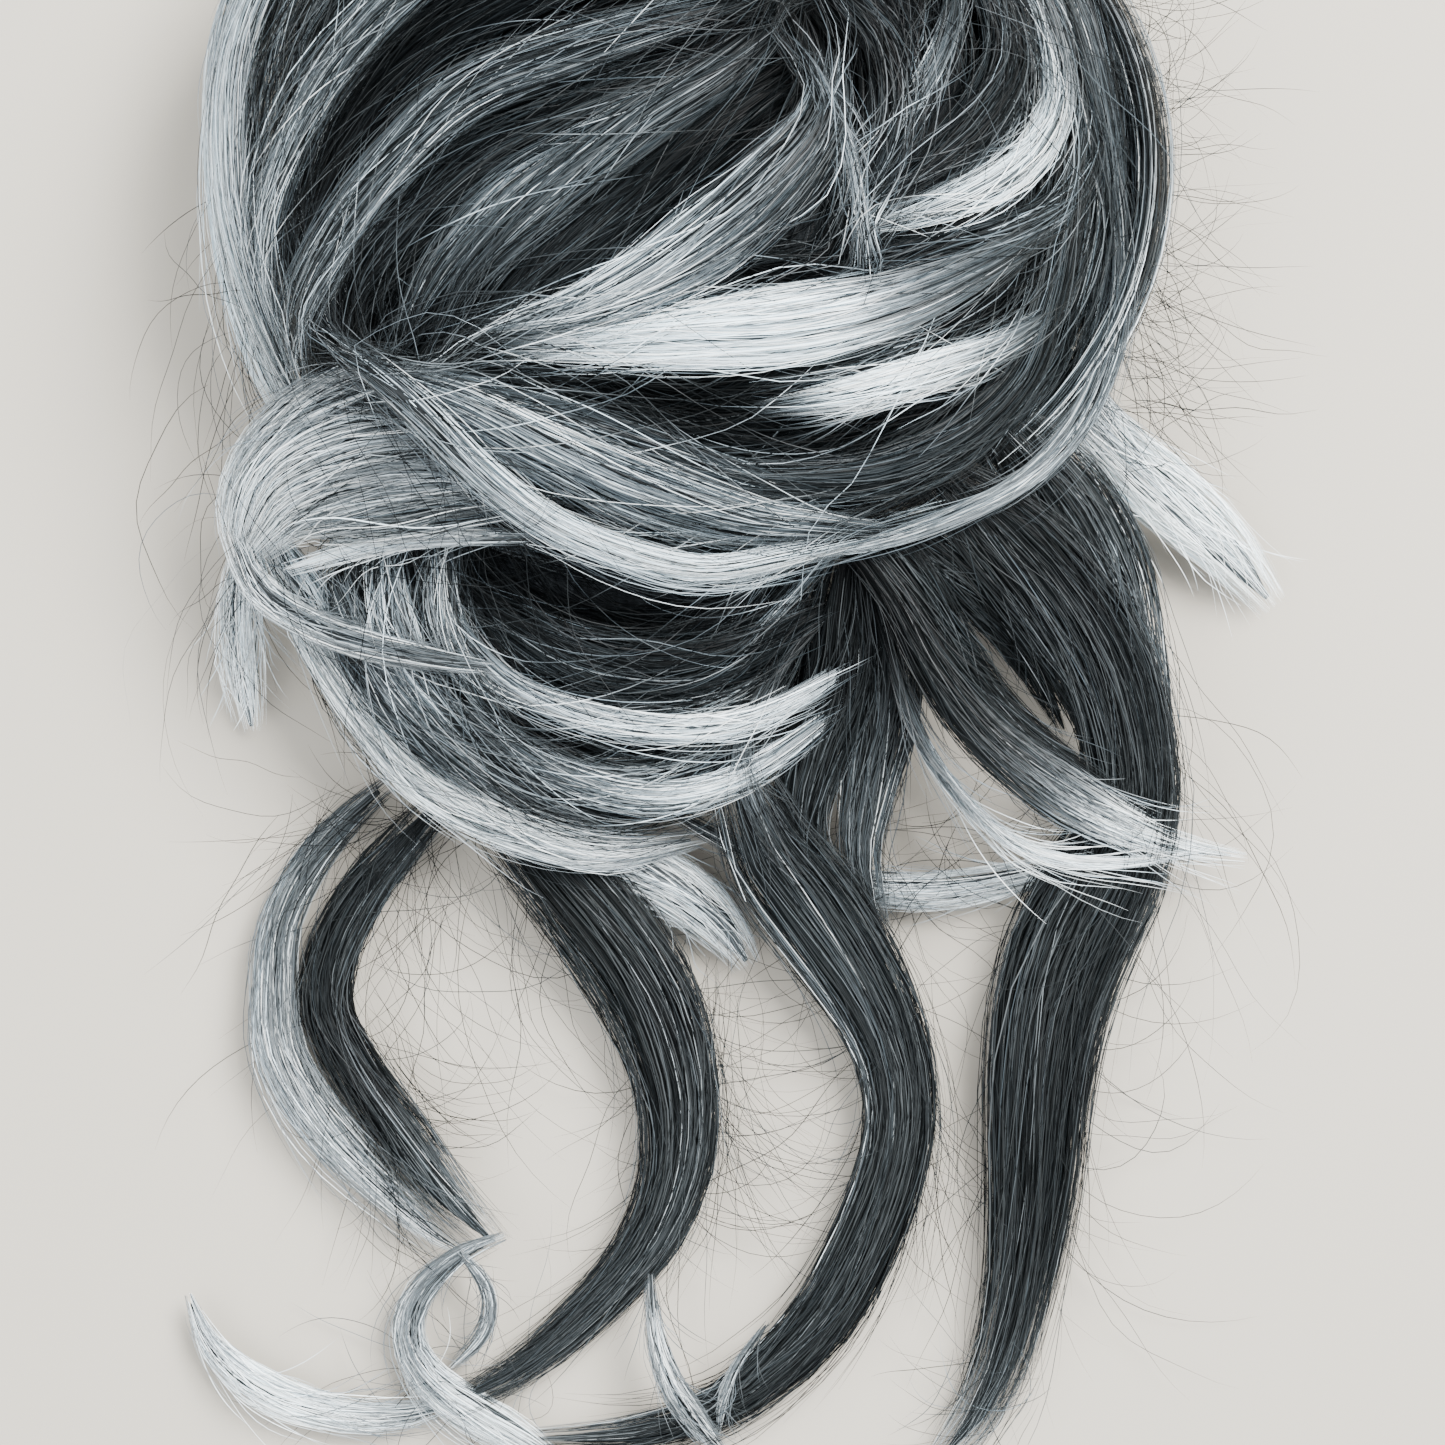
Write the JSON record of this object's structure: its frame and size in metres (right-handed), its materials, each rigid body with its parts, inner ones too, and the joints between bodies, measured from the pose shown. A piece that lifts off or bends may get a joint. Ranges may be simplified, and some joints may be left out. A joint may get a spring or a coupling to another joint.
{
  "type": "messy bun hairpiece",
  "caption": "Messy bun hairpiece: a hollow heap of wound synthetic hair on an elastic band, with loose curved tendrils.",
  "frame": {"origin": "middle of the whole hairpiece's footprint, on the surface that it lies on", "axes": "+Z out of the bun, up from the surface; +Y along the hairpiece to the bun's crown, with the tendrils at -Y; +X to the right in the picture"},
  "size_m": [0.1398, 0.2252, 0.0529],
  "materials": {
    "hair_dark": "near-black grey synthetic fibre with lighter strands through it",
    "hair_grey": "mid-grey synthetic fibre, soft sheen",
    "hair_silver": "silver-grey synthetic fibre, soft sheen",
    "hair_pale": "pale bluish-grey synthetic fibre, soft sheen",
    "hair_white": "silver-white synthetic fibre, bright soft sheen",
    "elastic": "matt black knitted elastic"
  },
  "bodies": {
    "root": {"bun": "hair_dark", "lock_inner_arc": "hair_dark", "lock_upper_arc": "hair_dark", "lock_crown": "hair_dark", "lock_right_under": "hair_dark", "lock_top": "hair_dark", "lock_mound_inner": "hair_dark", "tendril_right": "hair_dark", "tendril_centre": "hair_dark", "tendril_middle": "hair_dark", "tendril_left_dark": "hair_dark", "waist_top": "hair_dark", "lock_centre": "hair_grey", "lock_left_sweep": "hair_grey", "lock_right_fold": "hair_grey", "lock_right_inner": "hair_grey", "lock_right_rim": "hair_grey", "waist_right": "hair_grey", "waist_left": "hair_grey", "lock_crest": "hair_silver", "lock_left_arc": "hair_silver", "lock_lower_band": "hair_silver", "lock_mound_lower": "hair_silver", "lock_left_rim": "hair_pale", "lock_mound_left": "hair_pale", "waist_outer_right": "hair_pale", "fold_fan": "hair_pale", "lock_mound_edge": "hair_pale", "flick_under_right": "hair_pale", "flick_under_centre": "hair_pale", "tendril_left_pale": "hair_pale", "curl_end_near": "hair_pale", "lock_upper_right": "hair_white", "lock_white_wave": "hair_white", "lock_lower_wave": "hair_white", "lock_lower_s": "hair_white", "lock_mound_upper": "hair_white", "fold_return": "hair_white", "flick_upper_right": "hair_white", "flick_lower_right": "hair_white", "curl_loop": "hair_white", "curl_inner": "hair_white", "curl_left": "hair_white", "elastic_band": "elastic"}
  },
  "joints": []
}
